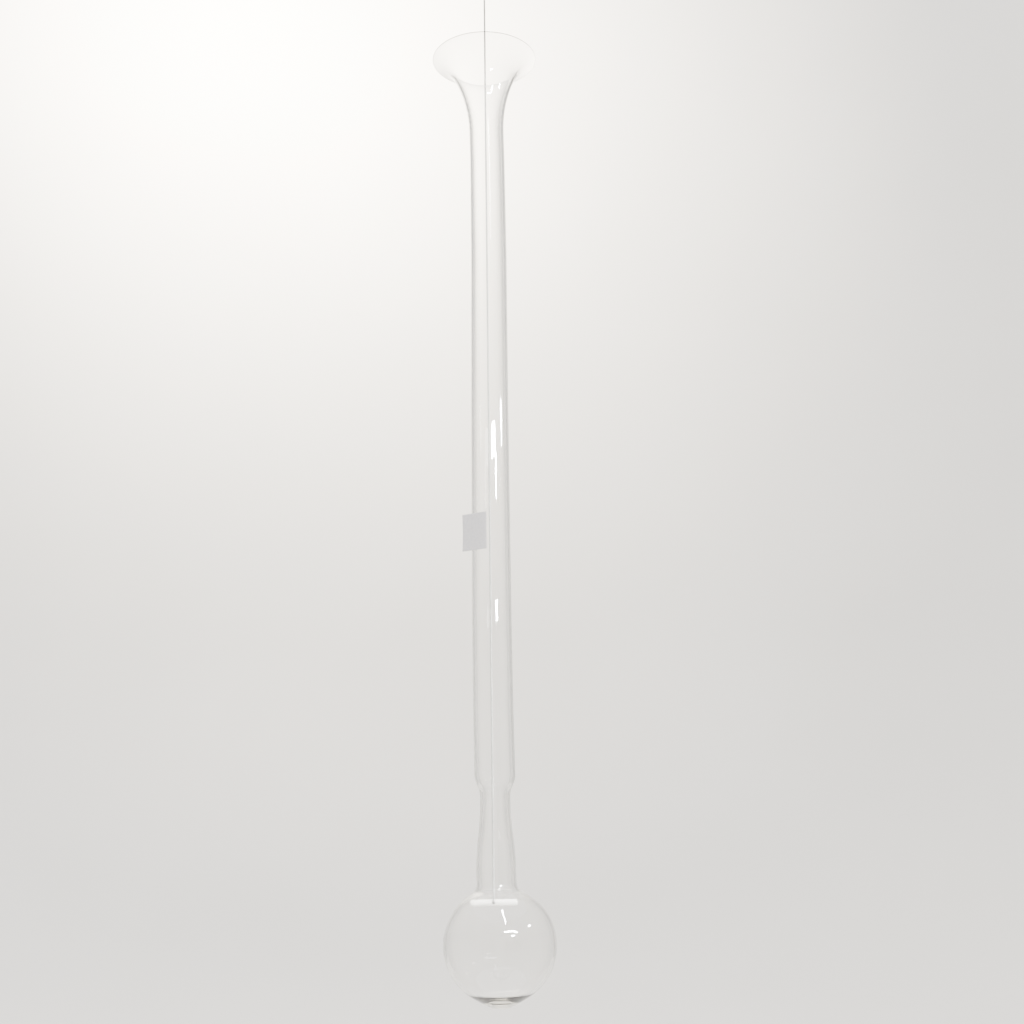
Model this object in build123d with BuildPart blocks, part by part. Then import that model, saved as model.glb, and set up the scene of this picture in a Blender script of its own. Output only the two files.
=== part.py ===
from build123d import *
from math import cos, pi, radians, sin
import os

# A yard-of-ale glass hung on a cord. Millimetres, +Z up, origin where the hook's screw shank enters the
# ceiling, on the axis of the glass. +X is to the right and -Y is the front.

# Glass: heights are above its foot, radii are from its axis.
GLASS_HEIGHT = 914.0
WALL = 2.6
TUBE_TOP_RADIUS = 17.5
TUBE_FOOT_RADIUS = 18.3
TUBE_FOOT = 199.0
GRIP_RADIUS = 17.75
GRIP_FROM, GRIP_TO = 600.0, 660.0
FLARE_RADIUS, FLARE_TURN = 142.0, 24.1
LIP_RADIUS, LIP_TURN = 41.0, 43.4
RIM_LAND_DEPTH = 0.25
THROAT_HEIGHT, THROAT_RADIUS, THROAT_BORE = 179.0, 13.4, 10.0
NECK_FOOT, NECK_FOOT_RADIUS = 110.0, 17.6
BULB_CENTRE, BULB_RADIUS = 51.6, 49.8
SHOULDER_FILLET = 9.0
BASE_SEAM = 9.0
BASE_FLOOR = 8.0
PONTIL_RADIUS = 9.0
BASE_BULGE_HEIGHT, BASE_BULGE_RADIUS = 5.1, 18.8

# Hook, cord and toggle.
RIM_DROP = 130.0
HOOK_WIRE = 1.5
HOOK_BOWL_DEPTH = 24.0
HOOK_BOWL_RADIUS = 6.7
HOOK_NECK, HOOK_TIP = 7.0, 12.0
HOOK_JOG, HOOK_TIP_RISE, HOOK_TIP_REACH = 5.0, 4.0, 3.0
HOOK_BEND, HOOK_BOWL_FLAT = 3.0, 0.02
SHANK_RADIUS, SHANK_LENGTH = 1.6, 14.0
SHANK_POINT, SHANK_POINT_TAPER = 2.0, 30
FLANGE_RADIUS, FLANGE_THICKNESS = 5.5, 1.6
CORD_RADIUS = 1.0
CORD_GAP = 0.3
EYE_LENGTH = 20.0
KNOT_RADIUS, KNOT_LENGTH, KNOT_BITE = 4.2, 7.0, 0.5
LINE_AT_RIM, LINE_AT_TOGGLE = 1.0, -4.9
TOGGLE_HEIGHT = 87.6
TOGGLE_LENGTH, TOGGLE_RADIUS, TOGGLE_HOLE = 42.0, 3.0, 1.5
TIE_DROP, TIE_BEND = 6.0, 2.6
TOGGLE_DEPTH, STOPPER_DEPTH, STOPPER_RADIUS = 4.5, 10.9, 2.8

# Label: angles are to the left of the front of the tube.
LABEL_FOOT, LABEL_HEIGHT = 402.0, 35.0
LABEL_FROM, LABEL_LEAVES = 12.0, 34.0
LABEL_FREE_RUN = 20.5
LABEL_THICKNESS = 0.3
LABEL_BACK_RADIUS = 18.06

FOOT_DROP = GLASS_HEIGHT + RIM_DROP
GLASS_PROFILE = Plane(origin=(0, 0, -FOOT_DROP), x_dir=(1, 0, 0), z_dir=(0, -1, 0))

# The lip leans outward by this much from the upright, and its end is a half round of the wall's thickness.
LIP_LEAN = radians(FLARE_TURN + LIP_TURN)
FLARE_RISE = FLARE_RADIUS * sin(radians(FLARE_TURN))
LIP_RISE = LIP_RADIUS * (sin(LIP_LEAN) - sin(radians(FLARE_TURN)))
ROUND_RISE = WALL / 2 * (sin(LIP_LEAN) + 1) - RIM_LAND_DEPTH
TUBE_TOP = GLASS_HEIGHT - FLARE_RISE - LIP_RISE - ROUND_RISE

# The cord is straight from the knot under its eye to the tie at the toggle.
LINE_SLOPE = (LINE_AT_RIM - LINE_AT_TOGGLE) / (GLASS_HEIGHT - TOGGLE_HEIGHT)
KNOT_TOP = -HOOK_BOWL_DEPTH - EYE_LENGTH
KNOT_FOOT = KNOT_TOP - KNOT_LENGTH


def line_x(z):
    """How far right of the glass's axis the cord runs at this height of the row."""
    return LINE_AT_RIM + LINE_SLOPE * (z + RIM_DROP)


TIE_TOP_Z = TOGGLE_HEIGHT - FOOT_DROP + TIE_DROP
LINE_TOP = Vector(line_x(KNOT_FOOT), 0, KNOT_FOOT)
LINE_FOOT = Vector(line_x(TIE_TOP_Z), 0, TIE_TOP_Z)
LINE_PLANE = Plane(origin=LINE_FOOT, x_dir=(1, 0, -LINE_SLOPE), z_dir=LINE_TOP - LINE_FOOT)
EYE_X = line_x(-HOOK_BOWL_DEPTH)


def s_curve(start, end):
    """Two equal arcs from start down to end, upright at both ends, for the open BuildLine."""
    middle = ((start[0] + end[0]) / 2, (start[1] + end[1]) / 2)
    upper = TangentArc(start, middle, tangent=(0, -1))
    TangentArc(middle, end, tangent=upper % 1)


def flare(radius_at_foot, thickness):
    """The trumpet's two tangent arcs, this far inside its outer surface; returns where they end."""
    first = JernArc((radius_at_foot, TUBE_TOP), (0, 1), FLARE_RADIUS + thickness, -FLARE_TURN)
    last = JernArc(first @ 1, first % 1, LIP_RADIUS + thickness, -LIP_TURN)
    return last @ 1


def shoulder(neck_radius, sphere_radius, fillet):
    """Where the fillet between the neck and the bulb's sphere leaves each: neck height, then a point."""
    reach = sphere_radius + fillet
    centre_r = neck_radius + fillet
    rise = (reach**2 - centre_r**2) ** 0.5
    on_sphere = (centre_r * sphere_radius / reach, BULB_CENTRE + rise * sphere_radius / reach)
    return BULB_CENTRE + rise, on_sphere


def sphere_r(height, sphere_radius):
    """The bulb sphere's radius from the axis at this height."""
    return (sphere_radius**2 - (height - BULB_CENTRE) ** 2) ** 0.5


# Trumpet mouth: two tangent arcs, and a fire-polished lip with a narrow land ground level on top.
with BuildPart() as trumpet_mouth:
    with BuildSketch(GLASS_PROFILE):
        with BuildLine():
            outer_end = flare(TUBE_TOP_RADIUS, 0)
            inner_end = flare(TUBE_TOP_RADIUS - WALL, WALL)
            lip_tip = (outer_end + inner_end) / 2 + Vector(sin(LIP_LEAN), cos(LIP_LEAN)) * WALL / 2
            ThreePointArc(outer_end, lip_tip, inner_end)
            Line((TUBE_TOP_RADIUS, TUBE_TOP), (TUBE_TOP_RADIUS - WALL, TUBE_TOP))
        make_face()
        with Locations((0, GLASS_HEIGHT)):
            Rectangle(4 * LIP_RADIUS, WALL, align=(Align.CENTER, Align.MIN), mode=Mode.SUBTRACT)
    revolve(axis=Axis.Z)
trumpet_mouth.part.label = "trumpet_mouth"

# Long tube: a slow taper, parallel only where a clamp can grip it.
with BuildPart() as long_tube:
    with BuildSketch(GLASS_PROFILE):
        with BuildLine():
            Polyline(
                (TUBE_FOOT_RADIUS, TUBE_FOOT),
                (GRIP_RADIUS, GRIP_FROM),
                (GRIP_RADIUS, GRIP_TO),
                (TUBE_TOP_RADIUS, TUBE_TOP),
                (TUBE_TOP_RADIUS - WALL, TUBE_TOP),
                (TUBE_FOOT_RADIUS - WALL, TUBE_FOOT),
                close=True,
            )
        make_face()
    revolve(axis=Axis.Z)
long_tube.part.label = "long_tube"

# Throat and neck: pinched in while hot, so the wall is thickest at the throat.
with BuildPart() as throat_neck:
    with BuildSketch(GLASS_PROFILE):
        neck_seam, shoulder_point = shoulder(NECK_FOOT_RADIUS, BULB_RADIUS, SHOULDER_FILLET)
        with BuildLine():
            s_curve((TUBE_FOOT_RADIUS, TUBE_FOOT), (THROAT_RADIUS, THROAT_HEIGHT))
            s_curve((THROAT_RADIUS, THROAT_HEIGHT), (NECK_FOOT_RADIUS, NECK_FOOT))
            Polyline(
                (NECK_FOOT_RADIUS, NECK_FOOT),
                (NECK_FOOT_RADIUS, neck_seam),
                (NECK_FOOT_RADIUS - WALL, neck_seam),
                (NECK_FOOT_RADIUS - WALL, NECK_FOOT),
            )
            s_curve((TUBE_FOOT_RADIUS - WALL, TUBE_FOOT), (THROAT_BORE, THROAT_HEIGHT))
            s_curve((THROAT_BORE, THROAT_HEIGHT), (NECK_FOOT_RADIUS - WALL, NECK_FOOT))
            Line((TUBE_FOOT_RADIUS, TUBE_FOOT), (TUBE_FOOT_RADIUS - WALL, TUBE_FOOT))
        make_face()
    revolve(axis=Axis.Z)
throat_neck.part.label = "throat_neck"

# Bulb: a sphere of even wall, filleted into the neck and cut level where the thick base begins.
with BuildPart() as ale_bulb:
    with BuildSketch(GLASS_PROFILE):
        inner_radius = BULB_RADIUS - WALL
        inner_shoulder = shoulder(NECK_FOOT_RADIUS - WALL, inner_radius, SHOULDER_FILLET + WALL)[1]
        outer_seam = (sphere_r(BASE_SEAM, BULB_RADIUS), BASE_SEAM)
        inner_seam = (sphere_r(BASE_SEAM, inner_radius), BASE_SEAM)
        with BuildLine():
            TangentArc((NECK_FOOT_RADIUS, neck_seam), shoulder_point, tangent=(0, -1))
            ThreePointArc(shoulder_point, (BULB_RADIUS, BULB_CENTRE), outer_seam)
            Line(outer_seam, inner_seam)
            ThreePointArc(inner_seam, (inner_radius, BULB_CENTRE), inner_shoulder)
            TangentArc((NECK_FOOT_RADIUS - WALL, neck_seam), inner_shoulder, tangent=(0, -1))
            Line((NECK_FOOT_RADIUS - WALL, neck_seam), (NECK_FOOT_RADIUS, neck_seam))
        make_face()
    revolve(axis=Axis.Z)
ale_bulb.part.label = "ale_bulb"

# Base: the thick lens of glass left by the gather, with the pontil mark ground flat.
with BuildPart() as pontil_base:
    with BuildSketch(GLASS_PROFILE):
        with BuildLine():
            Line((0, 0), (PONTIL_RADIUS, 0))
            ThreePointArc((PONTIL_RADIUS, 0), (BASE_BULGE_RADIUS, BASE_BULGE_HEIGHT), outer_seam)
            Line(outer_seam, inner_seam)
            TangentArc((0, BASE_FLOOR), inner_seam, tangent=(1, 0))
            Line((0, BASE_FLOOR), (0, 0))
        make_face()
    revolve(axis=Axis.Z)
pontil_base.part.label = "pontil_base"

# Ceiling hook: a screw shank, a pressed flange and a bent wire whose bowl hangs under the cord's eye.
with BuildPart() as ceiling_hook:
    bowl_left = EYE_X - HOOK_BOWL_RADIUS
    bowl_right = EYE_X + HOOK_BOWL_RADIUS
    bowl_bend = HOOK_BOWL_RADIUS - HOOK_BOWL_FLAT / 2
    with BuildLine(Plane.XZ):
        hook_path = FilletPolyline(
            (0, -FLANGE_THICKNESS),
            (0, -HOOK_NECK),
            (bowl_left, -HOOK_NECK - HOOK_JOG),
            (bowl_left, -HOOK_BOWL_DEPTH),
            (bowl_right, -HOOK_BOWL_DEPTH),
            (bowl_right, -HOOK_TIP - HOOK_TIP_RISE),
            (bowl_right + HOOK_TIP_REACH, -HOOK_TIP),
            radius=[HOOK_BEND, HOOK_BEND, bowl_bend, bowl_bend, HOOK_BEND],
        )
    with BuildSketch(Plane(origin=hook_path @ 0, z_dir=hook_path % 0)):
        Circle(HOOK_WIRE)
    sweep()
    fillet(ceiling_hook.faces().sort_by(Axis.X)[-1].edges(), HOOK_WIRE / 2)
    with BuildSketch(Plane.XY):
        Circle(FLANGE_RADIUS)
    extrude(amount=-FLANGE_THICKNESS)
    with BuildSketch(Plane.XY):
        Circle(SHANK_RADIUS)
    extrude(amount=SHANK_LENGTH)
    with BuildSketch(Plane.XY.offset(SHANK_LENGTH)):
        Circle(SHANK_RADIUS)
    extrude(amount=SHANK_POINT, taper=SHANK_POINT_TAPER)
ceiling_hook.part.label = "ceiling_hook"

# Eye of the cord: it hangs over the bowl of the hook and ends in the knot.
with BuildPart() as line_loop:
    eye_radius = HOOK_WIRE + CORD_GAP + CORD_RADIUS
    with BuildLine(Plane(origin=(EYE_X, 0, 0), x_dir=(0, 1, 0), z_dir=(1, 0, 0))):
        right_side = Line((eye_radius, KNOT_TOP), (eye_radius, -HOOK_BOWL_DEPTH))
        over = ThreePointArc(
            right_side @ 1,
            (0, eye_radius - HOOK_BOWL_DEPTH),
            (-eye_radius, -HOOK_BOWL_DEPTH),
        )
        Line(over @ 1, (-eye_radius, KNOT_TOP))
    with BuildSketch(Plane(origin=right_side @ 0, z_dir=right_side % 0)):
        Circle(CORD_RADIUS)
    sweep()
line_loop.part.label = "line_loop"

# Knot under the eye.
with BuildPart() as loop_knot:
    with BuildSketch(Plane.XY.offset(KNOT_FOOT)):
        with Locations((EYE_X, 0)):
            Circle(KNOT_RADIUS)
    extrude(amount=KNOT_LENGTH)
    fillet(loop_knot.edges().sort_by(Axis.Z)[0], KNOT_RADIUS / 2)
loop_knot.part.label = "loop_knot"

# Hanging line: one taut run; its top goes into the knot.
cord_length = (LINE_TOP - LINE_FOOT).length + KNOT_BITE
with BuildPart() as hanging_line:
    with BuildSketch(LINE_PLANE):
        Circle(CORD_RADIUS)
    extrude(amount=cord_length)
hanging_line.part.label = "hanging_line"

# Tie: the end of the cord turns back through the toggle's hole and stops in a knot behind it.
with BuildPart() as toggle_tie:
    with BuildLine(LINE_PLANE * Plane.YZ):
        tie_path = FilletPolyline((0, 0), (0, -TIE_DROP), (STOPPER_DEPTH, -TIE_DROP), radius=TIE_BEND)
    with BuildSketch(LINE_PLANE):
        Circle(CORD_RADIUS)
    sweep()
    with Locations(LINE_PLANE.location):
        with Locations((0, STOPPER_DEPTH, -TIE_DROP)):
            Sphere(STOPPER_RADIUS)
toggle_tie.part.label = "toggle_tie"

# Toggle: a round rod across the line, longer than the neck is wide, drilled through its middle.
with BuildPart() as toggle_bar:
    with BuildSketch(LINE_PLANE * Plane.YZ.offset(-TOGGLE_LENGTH / 2)):
        with Locations((TOGGLE_DEPTH, -TIE_DROP)):
            Circle(TOGGLE_RADIUS)
    extrude(amount=TOGGLE_LENGTH)
    fillet(toggle_bar.edges(), TOGGLE_RADIUS / 2)
    with BuildSketch(LINE_PLANE * Plane.XZ):
        with Locations((0, -TIE_DROP)):
            Circle(TOGGLE_HOLE)
    extrude(amount=2 * TOGGLE_DEPTH, both=True, mode=Mode.SUBTRACT)
toggle_bar.part.label = "toggle_bar"

# Label: paper stuck round the front left of the tube, one side of it standing off at a tangent.
with BuildPart() as lot_label:
    with BuildSketch(Plane.XY.offset(LABEL_FOOT - FOOT_DROP)):
        with BuildLine():
            stuck = CenterArc((0, 0), LABEL_BACK_RADIUS, 270 - LABEL_FROM, LABEL_FROM - LABEL_LEAVES)
            free = Line(stuck @ 1, stuck @ 1 + (stuck % 1) * LABEL_FREE_RUN)
            offset(amount=LABEL_THICKNESS, side=Side.LEFT)
        make_face()
    extrude(amount=LABEL_HEIGHT)
lot_label.part.label = "lot_label"

pieces = (
    trumpet_mouth,
    long_tube,
    throat_neck,
    ale_bulb,
    pontil_base,
    ceiling_hook,
    line_loop,
    loop_knot,
    hanging_line,
    toggle_tie,
    toggle_bar,
    lot_label,
)
os.makedirs("parts", exist_ok=True)
for piece in pieces:
    export_step(piece.part, f"parts/{piece.part.label}.step")

cord_section = pi * CORD_RADIUS**2
print(f"hanging_line {cord_length:.1f} mm long, volume {hanging_line.part.volume / cord_section:.1f} mm of cord")
print(f"eye over the hook has a radius of {eye_radius:.1f} mm, the tie's bend {TIE_BEND:.1f} mm")
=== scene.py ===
"""A hand-blown yard-of-ale glass hung on a cord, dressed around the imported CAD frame. Metres, +Z up."""
import math

import bpy
import numpy as np
from mathutils import Matrix, Vector


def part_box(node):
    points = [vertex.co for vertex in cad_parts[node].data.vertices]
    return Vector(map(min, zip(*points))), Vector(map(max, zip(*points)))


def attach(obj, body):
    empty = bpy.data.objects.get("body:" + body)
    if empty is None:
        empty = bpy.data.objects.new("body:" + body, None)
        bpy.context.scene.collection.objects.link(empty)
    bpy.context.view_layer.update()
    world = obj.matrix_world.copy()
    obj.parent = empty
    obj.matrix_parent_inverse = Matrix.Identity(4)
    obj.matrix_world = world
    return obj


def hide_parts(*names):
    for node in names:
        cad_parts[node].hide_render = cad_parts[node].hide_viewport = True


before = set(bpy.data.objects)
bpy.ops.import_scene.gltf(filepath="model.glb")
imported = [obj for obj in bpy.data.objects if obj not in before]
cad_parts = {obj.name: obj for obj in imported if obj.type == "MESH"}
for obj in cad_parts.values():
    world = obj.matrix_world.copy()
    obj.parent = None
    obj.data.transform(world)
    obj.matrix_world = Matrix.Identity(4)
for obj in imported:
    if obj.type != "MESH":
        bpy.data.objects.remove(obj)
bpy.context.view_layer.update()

MM = 0.001
TURN = 2 * math.pi

RIM_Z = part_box("trumpet_mouth")[1].z
FOOT_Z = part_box("pontil_base")[0].z
HEIGHT = (RIM_Z - FOOT_Z) / MM


# ---------------------------------------------------------------- camera
CAMERA_DISTANCE = 1.295
CAMERA_BELOW_RIM = 0.787
CAMERA_PITCH, CAMERA_YAW, CAMERA_ROLL = 13.6, -0.82, -1.23
LENS_MM, SENSOR_MM = 50.0, 36.0


def make_camera():
    camera = bpy.data.objects.new("camera", bpy.data.cameras.new("camera"))
    bpy.context.scene.collection.objects.link(camera)
    camera.data.lens = LENS_MM
    camera.data.sensor_width = SENSOR_MM
    pitch, yaw, roll = (math.radians(a) for a in (CAMERA_PITCH, CAMERA_YAW, CAMERA_ROLL))
    place = Matrix.Translation((0, -CAMERA_DISTANCE, RIM_Z - CAMERA_BELOW_RIM))
    aim = Matrix.Rotation(yaw, 4, "Z") @ Matrix.Rotation(math.pi / 2 + pitch, 4, "X")
    camera.matrix_world = place @ aim @ Matrix.Rotation(roll, 4, "Z")
    bpy.context.scene.camera = camera


# ---------------------------------------------------------------- material nodes
def new_material(name):
    material = bpy.data.materials.new(name)
    material.use_nodes = True
    tree = material.node_tree
    return material, tree, tree.nodes["Principled BSDF"]


def noise(tree, scale, detail=3.0, stretch=(1, 1, 1)):
    """Noise in the piece's own coordinates, stretched along its axes."""
    where = tree.nodes.new("ShaderNodeTexCoord")
    mapping = tree.nodes.new("ShaderNodeMapping")
    mapping.inputs["Scale"].default_value = stretch
    texture = tree.nodes.new("ShaderNodeTexNoise")
    texture.inputs["Scale"].default_value = scale
    texture.inputs["Detail"].default_value = detail
    tree.links.new(where.outputs["Object"], mapping.inputs["Vector"])
    tree.links.new(mapping.outputs["Vector"], texture.inputs["Vector"])
    return texture.outputs["Fac"]


def ramp(tree, value, low, high, colour_low, colour_high):
    """A colour that goes from one to another as the value goes from low to high."""
    node = tree.nodes.new("ShaderNodeValToRGB")
    node.color_ramp.elements[0].position = low
    node.color_ramp.elements[1].position = high
    node.color_ramp.elements[0].color = (*colour_low, 1)
    node.color_ramp.elements[1].color = (*colour_high, 1)
    tree.links.new(value, node.inputs["Fac"])
    return node.outputs["Color"]


def span(tree, value, low, high):
    """The value, which runs from 0 to 1, put between low and high."""
    node = tree.nodes.new("ShaderNodeMapRange")
    node.inputs["To Min"].default_value = low
    node.inputs["To Max"].default_value = high
    tree.links.new(value, node.inputs["Value"])
    return node.outputs["Result"]


def bump(tree, height, distance, shader):
    node = tree.nodes.new("ShaderNodeBump")
    node.inputs["Distance"].default_value = distance
    tree.links.new(height, node.inputs["Height"])
    tree.links.new(node.outputs["Normal"], shader.inputs["Normal"])


# ---------------------------------------------------------------- materials
GLASS_IOR = 1.5
GLASS_TINT, GLASS_TINT_DENSITY = (0.81, 0.79, 0.70), 32.0
GLASS_SHADOW = (0.93, 0.935, 0.93)


def glass_material():
    """Clear soda glass, faintly tinted in its depth, which lets the lamps through to what is in it."""
    material, tree, shader = new_material("clear_glass")
    shader.inputs["Base Color"].default_value = (1, 1, 1, 1)
    shader.inputs["Transmission Weight"].default_value = 1.0
    shader.inputs["IOR"].default_value = GLASS_IOR
    tree.links.new(span(tree, noise(tree, 18, 4), 0.0, 0.03), shader.inputs["Roughness"])
    clear = tree.nodes.new("ShaderNodeBsdfTransparent")
    clear.inputs["Color"].default_value = (*GLASS_SHADOW, 1)
    path = tree.nodes.new("ShaderNodeLightPath")
    mix = tree.nodes.new("ShaderNodeMixShader")
    tree.links.new(path.outputs["Is Shadow Ray"], mix.inputs[0])
    tree.links.new(shader.outputs[0], mix.inputs[1])
    tree.links.new(clear.outputs[0], mix.inputs[2])
    output = tree.nodes["Material Output"]
    tree.links.new(mix.outputs[0], output.inputs["Surface"])
    depth = tree.nodes.new("ShaderNodeVolumeAbsorption")
    depth.inputs["Color"].default_value = (*GLASS_TINT, 1)
    depth.inputs["Density"].default_value = GLASS_TINT_DENSITY
    tree.links.new(depth.outputs[0], output.inputs["Volume"])
    return material


def cord_material():
    material, tree, shader = new_material("laid_cord")
    colour = ramp(tree, noise(tree, 900, 2), 0.3, 0.7, (0.28, 0.28, 0.27), (0.42, 0.42, 0.40))
    tree.links.new(colour, shader.inputs["Base Color"])
    tree.links.new(span(tree, noise(tree, 1500, 2), 0.45, 0.75), shader.inputs["Roughness"])
    shader.inputs["Sheen Weight"].default_value = 0.25
    bump(tree, noise(tree, 5000, 2, (1, 1, 0.3)), 0.0001, shader)
    return material


def steel_material():
    material, tree, shader = new_material("hook_steel")
    colour = ramp(tree, noise(tree, 120, 4), 0.3, 0.7, (0.58, 0.58, 0.56), (0.74, 0.74, 0.72))
    tree.links.new(colour, shader.inputs["Base Color"])
    shader.inputs["Metallic"].default_value = 1.0
    tree.links.new(span(tree, noise(tree, 400, 3), 0.18, 0.42), shader.inputs["Roughness"])
    bump(tree, noise(tree, 2500, 2), 0.00004, shader)
    return material


def wood_material():
    material, tree, shader = new_material("toggle_wood")
    grain = noise(tree, 700, 4, (0.05, 1, 1))
    tree.links.new(ramp(tree, grain, 0.35, 0.65, (0.80, 0.78, 0.72), (0.90, 0.88, 0.84)), shader.inputs["Base Color"])
    tree.links.new(span(tree, noise(tree, 900, 3), 0.5, 0.75), shader.inputs["Roughness"])
    bump(tree, grain, 0.00015, shader)
    return material


def paper_material():
    material, tree, shader = new_material("label_paper")
    colour = ramp(tree, noise(tree, 500, 4), 0.3, 0.7, (0.62, 0.61, 0.65), (0.71, 0.70, 0.73))
    tree.links.new(colour, shader.inputs["Base Color"])
    tree.links.new(span(tree, noise(tree, 200, 2), 0.7, 0.9), shader.inputs["Roughness"])
    bump(tree, noise(tree, 3000, 3), 0.00005, shader)
    return material


# ---------------------------------------------------------------- pieces
def add_piece(name, points, faces, material, body):
    mesh = bpy.data.meshes.new(name)
    mesh.from_pydata([tuple(p) for p in points], [], faces)
    mesh.materials.append(material)
    mesh.polygons.foreach_set("use_smooth", [True] * len(mesh.polygons))
    piece = bpy.data.objects.new(name, mesh)
    bpy.context.scene.collection.objects.link(piece)
    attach(piece, body)
    return piece


def grid_faces(rows, around, first=0):
    """Quads between rings of the same number of points."""
    return [
        (
            first + row * around + step,
            first + row * around + (step + 1) % around,
            first + (row + 1) * around + (step + 1) % around,
            first + (row + 1) * around + step,
        )
        for row in range(rows - 1)
        for step in range(around)
    ]


def frames_along(path):
    """Points, tangents and two square directions along a path, without twist."""
    path = np.array(path, float)
    tangents = np.gradient(path, axis=0)
    tangents /= np.linalg.norm(tangents, axis=1)[:, None]
    across = np.zeros_like(path)
    side = np.cross(tangents[0], (0.3, 1, 0.2))
    for i, tangent in enumerate(tangents):
        side = side - tangent * side.dot(tangent)
        side /= np.linalg.norm(side)
        across[i] = side
    return path, across, np.cross(tangents, across)


def resample(path, step):
    """Points this far apart along a polyline."""
    path = np.array(path, float)
    lengths = np.concatenate([[0], np.cumsum(np.linalg.norm(np.diff(path, axis=0), axis=1))])
    along = np.linspace(0, lengths[-1], max(int(lengths[-1] / step), 8) + 1)
    return np.stack([np.interp(along, lengths, path[:, i]) for i in range(3)], axis=1), along


STRANDS = 3
STRAND_SIDES = 8
LAY_MM = 5.2
STRAND_STEP_MM = 0.45


def laid_cord(name, path, radius, material, body):
    """Three strands twisted round each other along a path, as one mesh with closed ends."""
    path, along = resample(path, STRAND_STEP_MM * MM)
    path, across, up = frames_along(path)
    strand_radius = radius * math.sin(math.pi / STRANDS) / (1 + math.sin(math.pi / STRANDS)) * 1.04
    orbit = radius - strand_radius
    points, faces = [], []
    for strand in range(STRANDS):
        phase = TURN * (strand / STRANDS + along / (LAY_MM * MM))
        centres = path + orbit * (np.cos(phase)[:, None] * across + np.sin(phase)[:, None] * up)
        first = len(points)
        for i, centre in enumerate(centres):
            for side in range(STRAND_SIDES):
                angle = phase[i] + TURN * side / STRAND_SIDES
                points.append(centre + strand_radius * (math.cos(angle) * across[i] + math.sin(angle) * up[i]))
        faces += grid_faces(len(path), STRAND_SIDES, first)
        faces.append(tuple(first + side for side in reversed(range(STRAND_SIDES))))
        last = first + (len(path) - 1) * STRAND_SIDES
        faces.append(tuple(last + side for side in range(STRAND_SIDES)))
    return add_piece(name, points, faces, material, body)


# ---------------------------------------------------------------- cord
CORD_RADIUS = 1.0 * MM
LINE_TOP = (0.001564, 0, -0.051)
LINE_FOOT = (-0.004857, 0, -0.9504)
NEAR_KNOT = (0.001495, 0, -0.0606)
NEAR_TIE = (-0.004789, 0, -0.9408)


def line_route():
    """The taut line's points, read from a NURBS spline through the route."""
    curve = bpy.data.curves.new("line_route", "CURVE")
    curve.dimensions = "3D"
    spline = curve.splines.new("NURBS")
    route = (LINE_TOP, NEAR_KNOT, NEAR_TIE, LINE_FOOT)
    spline.points.add(len(route) - 1)
    for point, place in zip(spline.points, route):
        point.co = (*place, 1)
    spline.order_u = 3
    spline.use_endpoint_u = True
    holder = bpy.data.objects.new("line_route", curve)
    mesh = bpy.data.meshes.new_from_object(holder)
    points = [tuple(v.co) for v in mesh.vertices]
    bpy.data.meshes.remove(mesh)
    bpy.data.objects.remove(holder)
    bpy.data.curves.remove(curve)
    return points


# ---------------------------------------------------------------- knots and the cord's ends
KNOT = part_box("loop_knot")
KNOT_CENTRE = (KNOT[0] + KNOT[1]) / 2
KNOT_TURNS = 3
KNOT_COIL_RADIUS = 2.9 * MM
EYE_RADIUS, EYE_FOOT = 2.8 * MM, 0.9 * MM
HOOK_BOWL_Z = -24.0 * MM
STEPS_A_TURN = 24


def eye_path():
    """Up one side of the eye, over the hook's wire and down the other side, into the knot."""
    x = KNOT_CENTRE.x
    low = KNOT[1].z - 1.5 * MM
    over = [math.pi * i / STEPS_A_TURN for i in range(STEPS_A_TURN + 1)]
    arch = [(x, EYE_RADIUS * math.cos(a), HOOK_BOWL_Z + EYE_RADIUS * math.sin(a)) for a in over]
    spread = low + 6 * MM
    up = [(x, EYE_FOOT, low), (x, EYE_RADIUS, spread)]
    down = [(x, -EYE_RADIUS, spread), (x, -EYE_FOOT, low)]
    return [*up, *arch, *down]


def knot_path():
    """The wraps of the knot: a tight coil round the standing cord, closing in at both ends."""
    steps = KNOT_TURNS * STEPS_A_TURN
    path = []
    for i in range(steps + 1):
        along = i / steps
        angle = TURN * KNOT_TURNS * along
        reach = KNOT_COIL_RADIUS * (1 - 0.35 * abs(2 * along - 1) ** 5)
        height = KNOT[1].z - CORD_RADIUS - along * (KNOT[1].z - KNOT[0].z - 2 * CORD_RADIUS)
        path.append((KNOT_CENTRE.x + reach * math.cos(angle), reach * math.sin(angle), height))
    return path


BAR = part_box("toggle_bar")
BAR_CENTRE = (BAR[0] + BAR[1]) / 2
TIE_BEND = 2.6 * MM
STOPPER_Y = 10.9 * MM
STOPPER_SIZE = 0.6 * MM


def tie_path():
    """Down from the line, back through the toggle's cross-hole and into the stopper knot."""
    x, z = LINE_FOOT[0], BAR_CENTRE.z
    quarter = [math.pi / 2 * i / STEPS_A_TURN for i in range(STEPS_A_TURN + 1)]
    bend = [(x, TIE_BEND * (1 - math.cos(a)), z + TIE_BEND * (1 - math.sin(a))) for a in quarter]
    return [LINE_FOOT, *bend, (x, STOPPER_Y - 1.6 * MM, z)]


def stopper_path():
    """An overhand knot pulled tight: a trefoil whose axis is the cord's."""
    steps = 4 * STEPS_A_TURN
    path = []
    for i in range(steps + 1):
        t = TURN * i / steps
        across = STOPPER_SIZE * (math.sin(t) + 2 * math.sin(2 * t))
        up = STOPPER_SIZE * (math.cos(t) - 2 * math.cos(2 * t))
        along = -1.6 * STOPPER_SIZE * math.sin(3 * t)
        path.append((LINE_FOOT[0] + across, STOPPER_Y + along, BAR_CENTRE.z + up))
    return path


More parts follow.
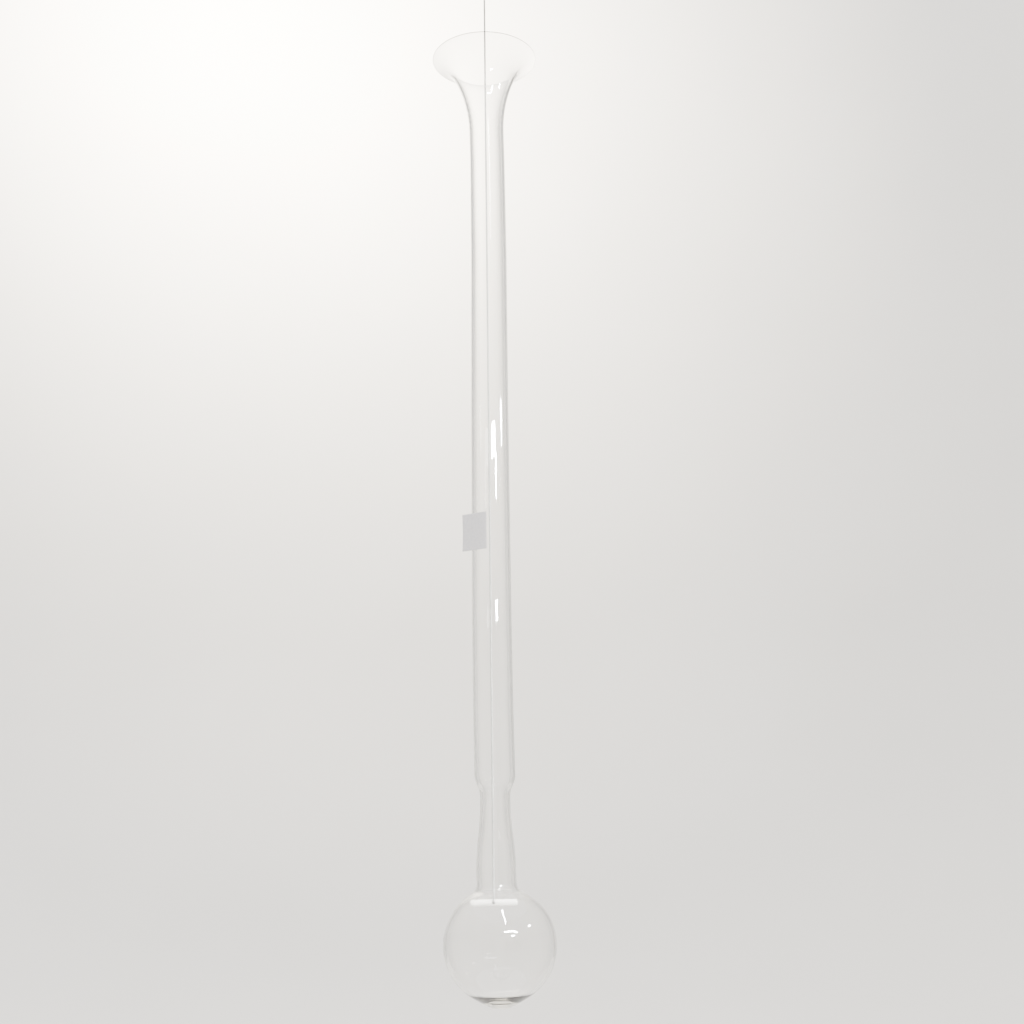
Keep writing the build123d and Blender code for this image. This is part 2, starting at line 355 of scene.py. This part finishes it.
def make_cord(material):
    route = line_route()
    line = laid_cord("hanging_cord", route, CORD_RADIUS, material, "line")
    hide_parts("hanging_line")
    eye = laid_cord("cord_eye", eye_path(), CORD_RADIUS, material, "line")
    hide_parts("line_loop")
    knot = laid_cord("eye_knot", knot_path(), CORD_RADIUS, material, "line")
    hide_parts("loop_knot")
    tie = laid_cord("tie_end", tie_path(), CORD_RADIUS, material, "tie")
    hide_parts("toggle_tie")
    stopper = laid_cord("stopper_knot", stopper_path(), CORD_RADIUS, material, "tie")


# ---------------------------------------------------------------- glass: radii and heights above the foot, in mm
WALL = 2.6
TUBE_TOP, TUBE_TOP_RADIUS = (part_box("long_tube")[1].z - FOOT_Z) / MM, 17.5
TUBE_FOOT, TUBE_FOOT_RADIUS = (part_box("long_tube")[0].z - FOOT_Z) / MM, 18.3
GRIP_HEIGHT, GRIP_RADIUS = 630.0, 17.75
FLARE_RADIUS, FLARE_TURN = 142.0, math.radians(24.1)
LIP_RADIUS, LIP_LEAN = 41.0, math.radians(67.5)
LIP_WALL = 1.0
LIP_STEPS = 18
THROAT_HEIGHT, THROAT_RADIUS, THROAT_BORE = 179.0, 13.4, 10.0
NECK_FOOT, NECK_RADIUS = 110.0, 17.6
BULB_CENTRE, BULB_RADIUS = 51.6, 49.8
SHOULDER_FILLET = 9.0
BASE_SEAM, BASE_FLOOR = 9.0, 8.0
FLOOR_REACH = 28.0
PONTIL_RADIUS, PONTIL_HOLLOW = 9.0, 0.6
BASE_BULGE = (18.8, 5.1)


def arc(centre, radius, start, end, steps):
    """Radius and height of points on an arc about centre, angles from straight out."""
    angles = np.linspace(start, end, steps + 1)
    return np.stack([centre[0] + radius * np.cos(angles), centre[1] + radius * np.sin(angles)], axis=1)


def s_curve(start, end, steps):
    """Two equal arcs from start to end, upright at both ends."""
    across, along = end[0] - start[0], end[1] - start[1]
    radius = (across**2 + along**2) / (4 * abs(across))
    angles = np.linspace(0, 2 * math.atan2(abs(across), abs(along)), steps + 1)[:, None]
    go = np.sign([across, along])
    swing = radius * np.concatenate([1 - np.cos(angles), np.sin(angles)], axis=1) * go
    return np.concatenate([start + swing, (end - swing)[::-1][1:]])


def straight(start, end, steps):
    return np.linspace(start, end, steps + 1)


def wall_profile(inset, throat_radius):
    """One side of the wall from the base's seam up to where the lip's round begins."""
    sphere, neck, fillet = BULB_RADIUS - inset, NECK_RADIUS - inset, SHOULDER_FILLET + inset
    reach = sphere + fillet
    rise = math.sqrt(reach**2 - (neck + fillet) ** 2)
    lean = math.atan2(rise, neck + fillet)
    seam = math.asin((BASE_SEAM - BULB_CENTRE) / sphere)
    neck_point = (neck, NECK_FOOT)
    throat = (throat_radius, THROAT_HEIGHT)
    tube_foot = (TUBE_FOOT_RADIUS - inset, TUBE_FOOT)
    grip = (GRIP_RADIUS - inset, GRIP_HEIGHT)
    tube_top = (TUBE_TOP_RADIUS - inset, TUBE_TOP)
    flare_r = TUBE_TOP_RADIUS + FLARE_RADIUS
    lip_r = flare_r - (FLARE_RADIUS - LIP_RADIUS) * math.cos(FLARE_TURN)
    lip_h = TUBE_TOP + (FLARE_RADIUS - LIP_RADIUS) * math.sin(FLARE_TURN)
    stretches = (
        arc((0, BULB_CENTRE), sphere, seam, lean, 60),
        arc((neck + fillet, BULB_CENTRE + rise), fillet, math.pi + lean, math.pi, 12),
        s_curve(neck_point, throat, 14),
        s_curve(throat, tube_foot, 8),
        straight(tube_foot, grip, 110),
        straight(grip, tube_top, 56),
        arc((flare_r, TUBE_TOP), FLARE_RADIUS + inset, math.pi, math.pi - FLARE_TURN, 24),
        arc((lip_r, lip_h), LIP_RADIUS + inset, math.pi - FLARE_TURN, math.pi - LIP_LEAN, LIP_STEPS),
    )
    return np.concatenate([stretches[0]] + [points[1:] for points in stretches[1:]])


def thin_to_lip(outer, inner):
    """Draws the inner surface towards the outer one over the last of the flare, for a fire-polished lip."""
    last = slice(-LIP_STEPS - 1, None)
    across = outer[last] - inner[last]
    share = np.linspace(0, 1, LIP_STEPS + 1)[:, None] ** 2
    inner[last] += across * share * (1 - LIP_WALL / WALL)


def floor_height(radius):
    """The inside of the bulb's base: the sphere, swelling smoothly into the thick lens at the middle."""
    sphere = BULB_RADIUS - WALL
    swell = (BASE_FLOOR - BULB_CENTRE + sphere) * (1 - np.minimum(radius / FLOOR_REACH, 1) ** 2) ** 2
    return BULB_CENTRE - np.sqrt(sphere**2 - radius**2) + swell


def glass_profile():
    """The whole section: up the outside from the pontil, over the lip and down the inside to the floor."""
    outer = wall_profile(0, THROAT_RADIUS)
    inner = wall_profile(WALL, THROAT_BORE)
    thin_to_lip(outer, inner)
    low = (inner[:, 1] < BULB_CENTRE) & (inner[:, 0] < FLOOR_REACH)
    inner[low, 1] = floor_height(inner[low, 0])
    lip_centre = (outer[-1] + inner[-1]) / 2
    lip = arc(lip_centre, LIP_WALL / 2, -LIP_LEAN, math.pi - LIP_LEAN, 12)
    seat = np.array([(PONTIL_RADIUS, 0), BASE_BULGE, outer[0]])
    rise = np.polyfit(seat[:, 0], seat[:, 1], 2)
    out = np.linspace(PONTIL_RADIUS, outer[0][0], 13)[:-1]
    base = np.stack([out, np.polyval(rise, out)], axis=1)
    hollow = np.array([(0.02, PONTIL_HOLLOW), (4, PONTIL_HOLLOW * 0.8), (7.6, 0.1), (8.3, 0)])
    inward = np.linspace(inner[0][0], 0.02, 16)[1:]
    floor = np.stack([inward, floor_height(inward)], axis=1)
    return np.concatenate([hollow, base, outer, lip[1:-1], inner[::-1], floor]), len(hollow) + len(base) + len(outer)


# How far the axis strays to the right, by height: no blown tube this long is straight.
AXIS_BY_HEIGHT = ((0, 0), (82, 0), (94, -1.2), (108, -2.3), (150, -2.0), (190, -1.8), (260, -2.3), (340, -2.2))
AXIS_ABOVE = ((540, -0.8), (700, 1.0), (800, 1.3), (870, 0.6), (900, 0.0), (914, 0.0))
SMOOTHING_MM = 9.0


def axis_shift(height):
    """The axis's stray at a height, smoothed."""
    table = np.array(AXIS_BY_HEIGHT + AXIS_ABOVE, float)
    offsets = np.linspace(-1, 1, 9)
    weights = 1 - offsets**2
    return sum(
        w * np.interp(height + o * SMOOTHING_MM, table[:, 0], table[:, 1]) for w, o in zip(weights, offsets)
    ) / weights.sum()


GLASS_SIDES = 144
OVAL_MM, WAVE_MM = 0.12, 0.10
RIDGE_MM = 0.10
RIDGES_FROM, RIDGES_TO, RIDGE_PITCH = 826.0, 868.0, 6.5


def hand_blown(height, angle, inside):
    """How far the surface stands out from a true turned one, in mm: long slow waves, and rings in the trumpet."""
    fade = np.clip((HEIGHT - height) / 25, 0, 1) * np.clip((height - 95) / 30, 0, 1)
    oval = OVAL_MM * np.sin(2 * angle + height / 160) + OVAL_MM / 3 * np.sin(3 * angle - height / 120)
    slow = WAVE_MM * np.sin(height / 74 + 1.3 * np.sin(height / 171))
    window = np.clip((height - RIDGES_FROM) / 8, 0, 1) * np.clip((RIDGES_TO - height) / 8, 0, 1)
    ridges = RIDGE_MM * window * np.sin(TURN * height / RIDGE_PITCH + 0.6 * np.sin(angle + 1))
    if inside:
        return fade * (1.4 * oval + slow * np.cos(angle / 2 + 0.7)) - ridges
    return fade * (oval + slow) + ridges


def make_glass(material):
    profile, outer_count = glass_profile()
    angles = TURN * np.arange(GLASS_SIDES) / GLASS_SIDES
    points = []
    for i, (radius, height) in enumerate(profile):
        stray = hand_blown(height, angles, i >= outer_count)
        rings = (radius + stray * min(1, radius / 10)) * MM
        shift = axis_shift(height) * MM
        level = [FOOT_Z + height * MM] * GLASS_SIDES
        points += list(zip(shift + rings * np.cos(angles), rings * np.sin(angles), level))
    faces = grid_faces(len(profile), GLASS_SIDES)
    last = (len(profile) - 1) * GLASS_SIDES
    faces.append(tuple(reversed(range(GLASS_SIDES))))
    faces.append(tuple(last + side for side in range(GLASS_SIDES)))
    glass = add_piece("glass_vessel", points, faces, material, "glass")
    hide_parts("trumpet_mouth", "long_tube", "throat_neck", "ale_bulb", "pontil_base")


# ---------------------------------------------------------------- label
LABEL_LOW, LABEL_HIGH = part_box("lot_label")[0].z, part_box("lot_label")[1].z
LABEL_BACK = 18.2
LABEL_FROM, LABEL_LEAVES = math.radians(12.0), math.radians(34.0)
LABEL_FREE_RUN = 20.0
LABEL_THICKNESS = 0.16
LABEL_COLUMNS, LABEL_ROWS = 56, 40
CURL_MM, CORNER_CURL_MM, RIPPLE_MM = 2.6, 1.0, 0.25
CURL_BACK, CURL_IN = 0.55, 0.35


def label_point(along, up, lift):
    """A point on the paper: along runs from the stuck edge to the free one, up from its foot, both 0 to 1."""
    stuck = LABEL_BACK * (LABEL_LEAVES - LABEL_FROM)
    run = along * (stuck + LABEL_FREE_RUN)
    height = (LABEL_LOW - FOOT_Z) / MM + up * (LABEL_HIGH - LABEL_LOW) / MM
    turn = LABEL_FROM + min(run, stuck) / LABEL_BACK
    free = max(run - stuck, 0)
    share = free / LABEL_FREE_RUN
    curl = CURL_MM * share**2 * (1 + 0.25 * math.sin(3.1 * up + 0.4)) + CORNER_CURL_MM * share * up**3
    wave = RIPPLE_MM * share * math.sin(5 * up + 2.5 * share)
    out = LABEL_BACK + 0.12 + lift + wave
    x = -out * math.sin(turn) - free * math.cos(turn) + curl * math.sin(turn) * CURL_IN
    y = -out * math.cos(turn) + free * math.sin(turn) - curl * math.cos(turn) * CURL_BACK
    return ((x + axis_shift(height)) * MM, y * MM, FOOT_Z + height * MM)


def make_label(material):
    points = []
    for lift in (0, LABEL_THICKNESS):
        for row in range(LABEL_ROWS + 1):
            for column in range(LABEL_COLUMNS + 1):
                points.append(label_point(column / LABEL_COLUMNS, row / LABEL_ROWS, lift))
    wide = LABEL_COLUMNS + 1
    side = wide * (LABEL_ROWS + 1)
    faces = []
    for row in range(LABEL_ROWS):
        for column in range(LABEL_COLUMNS):
            a = row * wide + column
            quad = (a, a + 1, a + 1 + wide, a + wide)
            faces += [tuple(reversed(quad)), tuple(side + i for i in quad)]
    rim = [i for i in range(wide)]
    rim += [(row + 1) * wide + LABEL_COLUMNS for row in range(LABEL_ROWS)]
    rim += [LABEL_ROWS * wide + column for column in reversed(range(LABEL_COLUMNS))]
    rim += [row * wide for row in reversed(range(1, LABEL_ROWS))]
    for a, b in zip(rim, rim[1:] + rim[:1]):
        faces.append((a, b, side + b, side + a))
    label = add_piece("paper_label", points, faces, material, "glass")
    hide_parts("lot_label")


# ---------------------------------------------------------------- hook
THREAD_PITCH, THREAD_DEPTH = 1.27 * MM, 0.28 * MM
SHANK_RADIUS, THREAD_LENGTH = 1.6 * MM, 13.0 * MM


def make_hook(material):
    """The turned hook of the frame, with a wood-screw thread added round its shank."""
    hook = bpy.data.objects["ceiling_hook"]
    hook.data.materials.clear()
    hook.data.materials.append(material)
    steps = int(THREAD_LENGTH / THREAD_PITCH * STEPS_A_TURN)
    section = ((-0.15, -0.28), (-0.15, 0.28), (1.0, 0.05), (1.0, -0.05))
    points = []
    for i in range(steps + 1):
        angle = TURN * i / STEPS_A_TURN
        height = 1.0 * MM + THREAD_PITCH * i / STEPS_A_TURN
        fade = min(1, i / STEPS_A_TURN, (steps - i) / STEPS_A_TURN)
        for out, up in section:
            reach = SHANK_RADIUS + (out * fade - 0.02) * THREAD_DEPTH
            points.append((reach * math.cos(angle), reach * math.sin(angle), height + up * THREAD_PITCH))
    faces = grid_faces(steps + 1, len(section))
    faces.append((3, 2, 1, 0))
    faces.append(tuple(steps * len(section) + i for i in range(4)))
    thread = add_piece("hook_thread", points, faces, material, "hook")
    thread.data.polygons.foreach_set("use_smooth", [False] * len(thread.data.polygons))


# ---------------------------------------------------------------- stage and light
FLOOR_Z = FOOT_Z - 0.32
BOWL_FLAT, BOWL_ROUND, BOWL_TOP = 2.4, 1.2, 4.7
BOWL_SIDES = 96


def stage_material():
    material, tree, shader = new_material("stage_paint")
    colour = ramp(tree, noise(tree, 1.5, 2), 0.3, 0.7, (0.80, 0.795, 0.785), (0.83, 0.825, 0.815))
    tree.links.new(colour, shader.inputs["Base Color"])
    shader.inputs["Roughness"].default_value = 0.9
    return material


def make_stage():
    """A plain pale floor that rises into a seamless backdrop all round, open at the top."""
    quarter = [math.pi / 2 * i / 16 for i in range(17)]
    rise = [(BOWL_FLAT + BOWL_ROUND * math.sin(a), BOWL_ROUND * (1 - math.cos(a))) for a in quarter]
    section = [(0.001, 0), (BOWL_FLAT / 2, 0), *rise, (BOWL_FLAT + BOWL_ROUND, BOWL_TOP)]
    points = []
    for reach, height in section:
        for side in range(BOWL_SIDES):
            angle = TURN * side / BOWL_SIDES
            points.append((reach * math.cos(angle), reach * math.sin(angle), FLOOR_Z + height))
    mesh = bpy.data.meshes.new("studio_sweep")
    mesh.from_pydata(points, [], grid_faces(len(section), BOWL_SIDES) + [tuple(range(BOWL_SIDES))])
    mesh.materials.append(stage_material())
    mesh.polygons.foreach_set("use_smooth", [True] * len(mesh.polygons))
    sweep = bpy.data.objects.new("studio_sweep", mesh)
    bpy.context.scene.collection.objects.link(sweep)


FLAG_DISTANCE, FLAG_FROM, FLAG_TO = 2.1, 5, 46
FLAG_LOW, FLAG_TALL = -1.34, 2.6
FLAG_SOLID_FROM = 26
FLAG_GREY = 0.60


def flag_material():
    """Grey card that fades out towards the middle, so its edge is never seen in the glass."""
    material, tree, shader = new_material("flag_card")
    where = tree.nodes.new("ShaderNodeTexCoord")
    split = tree.nodes.new("ShaderNodeSeparateXYZ")
    size = tree.nodes.new("ShaderNodeMath")
    size.operation = "ABSOLUTE"
    tree.links.new(where.outputs["Object"], split.inputs[0])
    tree.links.new(split.outputs["X"], size.inputs[0])
    near, far = (FLAG_DISTANCE * math.sin(math.radians(a)) for a in (FLAG_FROM, FLAG_SOLID_FROM))
    tree.links.new(ramp(tree, size.outputs[0], near, far, (0, 0, 0), (1, 1, 1)), shader.inputs["Alpha"])
    shader.inputs["Base Color"].default_value = (FLAG_GREY, FLAG_GREY, FLAG_GREY, 1)
    shader.inputs["Roughness"].default_value = 0.9
    return material


def make_flags():
    """Four curved grey cards beside the glass, front and back, which only its walls pick up."""
    material = flag_material()
    for number, (side, facing) in enumerate(((1, 1), (-1, 1), (1, -1), (-1, -1))):
        points, faces = [], []
        for step in range(FLAG_FROM, FLAG_TO + 1):
            angle = math.radians(step)
            x, y = side * FLAG_DISTANCE * math.sin(angle), facing * FLAG_DISTANCE * math.cos(angle)
            points += [(x, y, FLAG_LOW), (x, y, FLAG_LOW + FLAG_TALL)]
        for i in range(FLAG_TO - FLAG_FROM):
            faces.append((2 * i, 2 * i + 1, 2 * i + 3, 2 * i + 2))
        mesh = bpy.data.meshes.new(f"flag_{number}")
        mesh.from_pydata(points, [], faces)
        mesh.materials.append(material)
        flag = bpy.data.objects.new(f"flag_{number}", mesh)
        bpy.context.scene.collection.objects.link(flag)
        flag.visible_camera = False
        flag.visible_diffuse = False
        flag.visible_shadow = False
        flag.visible_glossy = False


def add_lamp(name, place, target, size, watts, colour=(1, 1, 1), spread=80):
    """A soft rectangular lamp the camera doesn't see."""
    data = bpy.data.lights.new(name, "AREA")
    data.shape = "RECTANGLE"
    data.size, data.size_y = size
    data.energy = watts
    data.color = colour
    data.spread = math.radians(spread)
    lamp = bpy.data.objects.new(name, data)
    bpy.context.scene.collection.objects.link(lamp)
    lamp.location = place
    lamp.rotation_euler = (Vector(target) - lamp.location).to_track_quat("-Z", "Y").to_euler()
    lamp.visible_camera = False
    return lamp


def round_the_glass(azimuth, distance, z):
    """A place on the camera's side of the glass; azimuth is to the camera's right."""
    angle = math.radians(azimuth)
    return (distance * math.sin(angle), -distance * math.cos(angle), z)


GLASS_MIDDLE = (0, 0, -0.55)
BULB_MIDDLE = (0, 0, -0.99)
# The lamps whose reflections mark the glass: name, azimuth, distance, height, target, size and watts.
MARK_LAMPS = (
    ("key_high", 21, 1.8, -0.01, GLASS_MIDDLE, (0.72, 0.08), 50),
    ("key_low", 34, 1.8, -0.10, GLASS_MIDDLE, (0.24, 0.10), 21),
    ("low_window", 27, 1.5, -0.45, GLASS_MIDDLE, (0.26, 0.035), 12),
    ("high_window", 15, 0.9, 0.5, BULB_MIDDLE, (0.07, 0.95), 22),
    ("side", 73, 1.6, -0.04, GLASS_MIDDLE, (0.16, 0.09), 10),
)
TOGGLE_WATTS = 0.035
WORLD_STRENGTH = 2.75


def make_light():
    """Even light from above, a warm glow on the backdrop, the marks on the glass and a little on the toggle."""
    world = bpy.data.worlds.new("studio")
    world.use_nodes = True
    bpy.context.scene.world = world
    back = world.node_tree.nodes["Background"]
    back.inputs["Color"].default_value = (1.0, 0.995, 0.985, 1)
    back.inputs["Strength"].default_value = WORLD_STRENGTH
    add_lamp("backdrop_glow", (-0.75, 1.9, 2.3), (-0.75, 3.6, 2.0), (0.8, 0.8), 230, (1, 0.91, 0.76), 120)
    for name, azimuth, distance, z, target, size, watts in MARK_LAMPS:
        lamp = add_lamp(name, round_the_glass(azimuth, distance, z), target, size, watts)
        lamp.visible_diffuse = False
    place = round_the_glass(0, 1.2, -0.30)
    lamp = add_lamp("toggle_light", place, BAR_CENTRE, (0.06, 0.06), TOGGLE_WATTS, spread=12)
    lamp.visible_glossy = False
    lamp.visible_transmission = False


make_camera()
cord = cord_material()
glass = glass_material()
steel = steel_material()
make_cord(cord)
make_glass(glass)
make_label(paper_material())
make_hook(steel)
bar_object = bpy.data.objects["toggle_bar"]
bar_object.data.materials.clear()
bar_object.data.materials.append(wood_material())
make_stage()
make_flags()
make_light()
